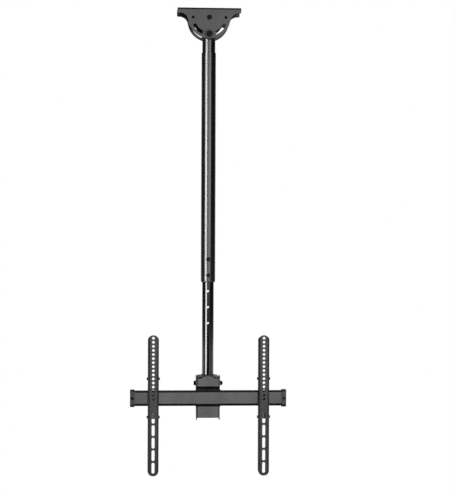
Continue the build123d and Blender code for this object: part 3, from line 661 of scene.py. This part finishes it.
class MOUNT_OT_finishes(MountOperator, bpy.types.Operator):
    """Give every CAD node its procedural finish"""
    bl_idname = "mount.finishes"
    bl_label = "Finishes"

    def execute(self, context):
        sizes = context.scene.mount_finishes
        coat = finish("satin black coat", sizes.coat_color, RUBBED_COAT, sizes.coat_roughness,
                      spread=0.09, grain=sizes.coat_grain, depth=0.03 * MM)
        steel = finish("blackened steel", sizes.steel_color, RUBBED_STEEL, 0.34, spread=0.12,
                       grain=0.7 * MM, depth=0.012 * MM, metallic=0.8, edge_metal=0.2, specular=0.15)
        plastic = finish("moulded black plastic", sizes.plastic_color, RUBBED_COAT, 0.46,
                         spread=0.08, grain=0.5 * MM, depth=0.02 * MM)
        zinc = finish("bright zinc", sizes.zinc_color, RUBBED_ZINC, 0.3, spread=0.16,
                      grain=0.9 * MM, depth=0.01 * MM, metallic=0.9, edge_metal=0.1)
        for material, slot in ((coat, "powder_coat"), (steel, "black_steel"),
                               (plastic, "black_plastic"), (zinc, "zinc_steel")):
            give_finish(material, PIECES_BY_SLOT[slot])
        smooth = finish("smooth black paint", sizes.coat_color, RUBBED_PAINT, 0.13, spread=0.04,
                        grain=2.2 * MM, depth=0.01 * MM, specular=0.42)
        give_finish(smooth, ["inner_tube"])
        dense = finish("dense black powder coat", sizes.coat_color, RUBBED_COAT, 0.27, spread=0.07,
                       grain=sizes.coat_grain, depth=0.03 * MM, specular=0.32)
        give_finish(dense, ["left_arm_channel", "right_arm_channel"])
        plated = finish("blackened washers", sizes.washer_color, RUBBED_STEEL, 0.34, spread=0.12,
                        grain=0.7 * MM, depth=0.012 * MM, metallic=0.8, edge_metal=0.2)
        give_finish(plated, [node for node in frame["nodes"] if node.endswith("washers")])
        return self.done(frame["nodes"])


class MOUNT_OT_joint_bolts(MountOperator, bpy.types.Operator):
    """Build the two threaded bolts of the ceiling joint"""
    bl_idname = "mount.joint_bolts"
    bl_label = "Ceiling joint bolts"

    def execute(self, context):
        fasteners = context.scene.mount_fasteners
        thread = fasteners.joint_thread
        made = [hex_bolt("threaded_pivot_bolt", "pivot_bolt", "ceiling", fasteners.pivot_bolt,
                         fasteners.pivot_pitch, fasteners.pivot_head, thread),
                hex_bolt("threaded_lean_bolt", "lean_lock_bolt", "upper_pole", fasteners.lean_bolt,
                         fasteners.lean_pitch, fasteners.lean_head, thread)]
        return self.done(made)


class MOUNT_OT_tilt_bolts(MountOperator, bpy.types.Operator):
    """Build the two threaded bolts of the tilting head"""
    bl_idname = "mount.tilt_bolts"
    bl_label = "Tilt bolts"

    def execute(self, context):
        fasteners = context.scene.mount_fasteners
        made = [hex_bolt("threaded_" + name, name, "tilt_head", fasteners.tilt_bolt,
                         fasteners.tilt_pitch, fasteners.tilt_head, fasteners.tilt_thread)
                for name in ("tilt_pivot_bolt", "tilt_lock_bolt")]
        return self.done(made)


class MOUNT_OT_arm_screws(MountOperator, bpy.types.Operator):
    """Build the knurled lock screws of both arms"""
    bl_idname = "mount.arm_screws"
    bl_label = "Arm lock screws"

    def execute(self, context):
        fasteners = context.scene.mount_fasteners
        made = [knurled_screw("knurled_" + side + "_screw", side + "_arm_lock_screw", side + "_arm",
                              fasteners)
                for side in ("left", "right")]
        return self.done(made)


class MOUNT_OT_welds(MountOperator, bpy.types.Operator):
    """Lay the weld beads of the neck, the screw bosses and the saddle"""
    bl_idname = "mount.welds"
    bl_label = "Weld beads"

    def execute(self, context):
        welds = context.scene.mount_welds
        made = [self.neck(welds)]
        made.extend(self.bosses(welds))
        made.extend(self.saddle(welds))
        return self.done(made)

    def neck(self, welds):
        """Bead round the neck under the fork."""
        low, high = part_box("neck_tube")
        fork_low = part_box("fork")[0]
        radius = (high.x - low.x) / 2
        path = []
        count = bead_samples(welds, math.tau * radius)
        for i in range(count):
            angle = math.tau * i / count
            out = Vector((math.cos(angle), math.sin(angle), 0))
            path.append((out * radius + Vector((0, 0, fork_low.z)), out - Vector((0, 0, 1))))
        return weld_bead("neck_weld", path, "upper_pole", welds, True)

    def bosses(self, welds):
        """Beads round the two screw bosses, on the round of the tube."""
        low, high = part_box("screw_bosses")
        pole_low, pole_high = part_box("outer_tube")
        pole = (pole_high.x - pole_low.x) / 2
        radius = (high.x - low.x) / 2
        beads = []
        for name, z in (("lower", low.z + radius), ("upper", high.z - radius)):
            path = []
            count = bead_samples(welds, math.tau * radius)
            for i in range(count):
                angle = math.tau * i / count
                x = radius * math.cos(angle)
                point = Vector((x, -math.sqrt(pole ** 2 - x ** 2), z + radius * math.sin(angle)))
                path.append((point, Vector((math.cos(angle), -BOSS_BULGE, math.sin(angle)))))
            beads.append(weld_bead(name + "_boss_weld", path, "upper_pole", welds, True, BOSS_BEAD))
        return beads

    def saddle(self, welds):
        """Beads along the saddle's upper and lower rear edges."""
        low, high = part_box("rail_saddle")
        length = high.x - low.x - 2 * SADDLE_INSET
        count = bead_samples(welds, length)
        beads = []
        for name, z, way in (("top", high.z, 1), ("bottom", low.z, -1)):
            path = []
            for i in range(count + 1):
                x = low.x + SADDLE_INSET + length * i / count
                path.append((Vector((x, high.y, z)), Vector((0, -1, way))))
            beads.append(weld_bead("saddle_" + name + "_weld", path, "tilt_head", welds, False))
        return beads


class MOUNT_OT_stage(MountOperator, bpy.types.Operator):
    """Set the floor, the soft studio light and the camera"""
    bl_idname = "mount.stage"
    bl_label = "Studio"

    def execute(self, context):
        sizes = context.scene.mount_stage
        self.floor(sizes)
        self.surroundings(context)
        lamps = {}
        for name, place, size, brightness in self.lamp_table(sizes.camera_height):
            lamps[name] = self.light(name, place, sizes.camera_height, size, brightness)
        self.link(lamps["lower softbox"], SHADED_PIECES, "EXCLUDE")
        lamps["side strip"].visible_diffuse = False
        self.link(lamps["side strip"], POLE_PIECES, "INCLUDE")
        self.sun("high light", (-0.6, -1.2, 3.0), strength=2.3, spread=16.0)
        self.camera(context, sizes)
        context.scene.view_settings.view_transform = "Standard"
        return self.done([context.scene.camera])

    def lamp_table(self, middle):
        """Area lamps: name, place, size and brightness."""
        table = [
            ("upper softbox", (1.1, -5.4, 0.1), (4.8, 2.2), 3.45),
            ("front panel", (2.0, -4.8, 0.1), (1.5, 2.2), 4.0),
            ("lower softbox", (0.27, -5.4, -1.7), (1.5, 1.4), 4.4),
            ("side strip", (-2.55, -3.13, -0.38), (1.85, 2.48), 24.0),
            ("top softbox", (0.0, -0.2, 3.0), (3.0, 3.0), 0.5),
        ]
        for number, degrees in enumerate((45, 90, 135, 225, 270, 315)):
            angle = math.radians(degrees)
            place = (LOW_PANEL_OUT * math.sin(angle), -LOW_PANEL_OUT * math.cos(angle),
                     middle - LOW_PANEL_DROP)
            table.append(("low panel " + str(number + 1), place, (2.4, 1.3), 1.8))
        for number, side in enumerate((-1, 1)):
            place = (REAR_PANEL_SIDE * side, REAR_PANEL_BACK, middle)
            table.append(("rear panel " + str(number + 1), place, (1.5, 2.8), 1.3))
        table.append(("rear softbox", (0.0, 5.0, 0.75), (3.0, 1.5), 1.6))
        return table

    def floor(self, sizes):
        """Plain round floor."""
        mesh = bpy.data.meshes.new("floor")
        edge = circle(FLOOR_RADIUS, -sizes.floor_drop, FLOOR_SIDES)
        mesh.from_pydata(edge, [], [tuple(range(FLOOR_SIDES))])
        material, tree, shader = new_finish("plain floor")
        place = put(tree, "ShaderNodeTexCoord").outputs["Object"]
        cloud = put(tree, "ShaderNodeTexNoise", Vector=place, Scale=1.5, Detail=3.0).outputs["Fac"]
        color = tuple(sizes.floor_color)
        paler = tuple(min(1.0, value * FLOOR_PALER) for value in color)
        tree.links.new(mixed_color(tree, cloud, color, paler), shader.inputs["Base Color"])
        shader.inputs["Roughness"].default_value = FLOOR_ROUGHNESS
        shader.inputs["Emission Color"].default_value = (*color, 1.0)
        shader.inputs["Emission Strength"].default_value = FLOOR_GLOW
        mesh.materials.append(material)
        plane = bpy.data.objects.new("floor", mesh)
        plane.visible_glossy = False
        bpy.context.scene.collection.objects.link(plane)

    def surroundings(self, context):
        """White where the camera looks past the floor, and a dim even light elsewhere."""
        world = bpy.data.worlds.new("studio")
        context.scene.world = world
        world.use_nodes = True
        tree = world.node_tree
        tree.nodes.clear()
        seen = put(tree, "ShaderNodeBackground", Color=(1, 1, 1, 1), Strength=1.0)
        felt = put(tree, "ShaderNodeBackground", Color=(1, 1, 1, 1), Strength=DIM_LIGHT)
        direct = put(tree, "ShaderNodeLightPath").outputs["Is Camera Ray"]
        mixed = put(tree, "ShaderNodeMixShader", i0=direct, i1=felt.outputs[0], i2=seen.outputs[0])
        output = put(tree, "ShaderNodeOutputWorld")
        tree.links.new(mixed.outputs[0], output.inputs["Surface"])

    def light(self, name, place, target_height, size, brightness):
        """Area lamp that looks at the pole; its energy follows from its size and brightness."""
        target = (0, 0, target_height)
        data = bpy.data.lights.new(name, "AREA")
        data.shape = "RECTANGLE"
        data.size, data.size_y = size
        data.energy = brightness * math.pi * data.size * data.size_y
        lamp = bpy.data.objects.new(name, data)
        lamp.location = place
        lamp.rotation_euler = (Vector(target) - Vector(place)).to_track_quat("-Z", "Y").to_euler()
        lamp.visible_camera = False
        bpy.context.scene.collection.objects.link(lamp)
        return lamp

    def link(self, lamp, names, state):
        """Lets a lamp light only some pieces, or all but those."""
        receivers = bpy.data.collections.new(lamp.name + " receivers")
        for name in names:
            receivers.objects.link(frame["nodes"].get(name) or bpy.data.objects[name])
        for receiver in receivers.collection_objects:
            receiver.light_linking.link_state = state
        lamp.light_linking.receiver_collection = receivers

    def sun(self, name, place, strength, spread):
        """Soft sun that shines from a place towards the middle."""
        data = bpy.data.lights.new(name, "SUN")
        data.energy = strength
        data.angle = math.radians(spread)
        lamp = bpy.data.objects.new(name, data)
        lamp.rotation_euler = (-Vector(place)).to_track_quat("-Z", "Y").to_euler()
        lamp.visible_glossy = False
        bpy.context.scene.collection.objects.link(lamp)

    def camera(self, context, sizes):
        """Camera at the photograph's viewing angle."""
        data = bpy.data.cameras.new("camera")
        data.sensor_width = FILM_WIDTH
        data.lens = data.sensor_width * sizes.distance / sizes.view_height
        camera = bpy.data.objects.new("camera", data)
        spot = Vector((sizes.distance * math.sin(sizes.azimuth),
                       -sizes.distance * math.cos(sizes.azimuth), sizes.camera_height))
        aim = Vector((sizes.aim, 0, sizes.camera_height))
        turn = (aim - spot).to_track_quat("-Z", "Y").to_matrix().to_4x4()
        camera.matrix_world = Matrix.Translation(spot) @ turn @ Matrix.Rotation(sizes.roll, 4, "Z")
        context.scene.collection.objects.link(camera)
        context.scene.camera = camera


class MOUNT_PT_panel(bpy.types.Panel):
    """The mount's sizes and steps"""
    bl_idname = "MOUNT_PT_panel"
    bl_label = "Ceiling screen mount"
    bl_space_type = "VIEW_3D"
    bl_region_type = "UI"
    bl_category = "Screen Mount"

    def draw(self, context):
        for group, operators in GROUPS:
            box = self.layout.box()
            sizes = getattr(context.scene, group)
            for name in type(sizes).__annotations__:
                box.prop(sizes, name)
            for operator in operators:
                box.operator(operator.bl_idname)


GROUPS = (
    ("mount_finishes", (MOUNT_OT_finishes,)),
    ("mount_fasteners", (MOUNT_OT_joint_bolts, MOUNT_OT_tilt_bolts, MOUNT_OT_arm_screws)),
    ("mount_welds", (MOUNT_OT_welds,)),
    ("mount_stage", (MOUNT_OT_stage,)),
)
SIZES = {"mount_finishes": FinishSizes, "mount_fasteners": FastenerSizes,
         "mount_welds": WeldSizes, "mount_stage": StageSizes}
CLASSES = (*SIZES.values(), *(operator for group in GROUPS for operator in group[1]), MOUNT_PT_panel)


def register():
    for item in CLASSES:
        bpy.utils.register_class(item)
    for name, item in SIZES.items():
        setattr(bpy.types.Scene, name, bpy.props.PointerProperty(type=item))


def unregister():
    for name in SIZES:
        delattr(bpy.types.Scene, name)
    for item in reversed(CLASSES):
        bpy.utils.unregister_class(item)


def main():
    register()
    bpy.ops.mount.finishes()
    bpy.ops.mount.joint_bolts()
    bpy.ops.mount.tilt_bolts()
    bpy.ops.mount.arm_screws()
    bpy.ops.mount.welds()
    bpy.ops.mount.stage()


if __name__ == "__main__":
    main()
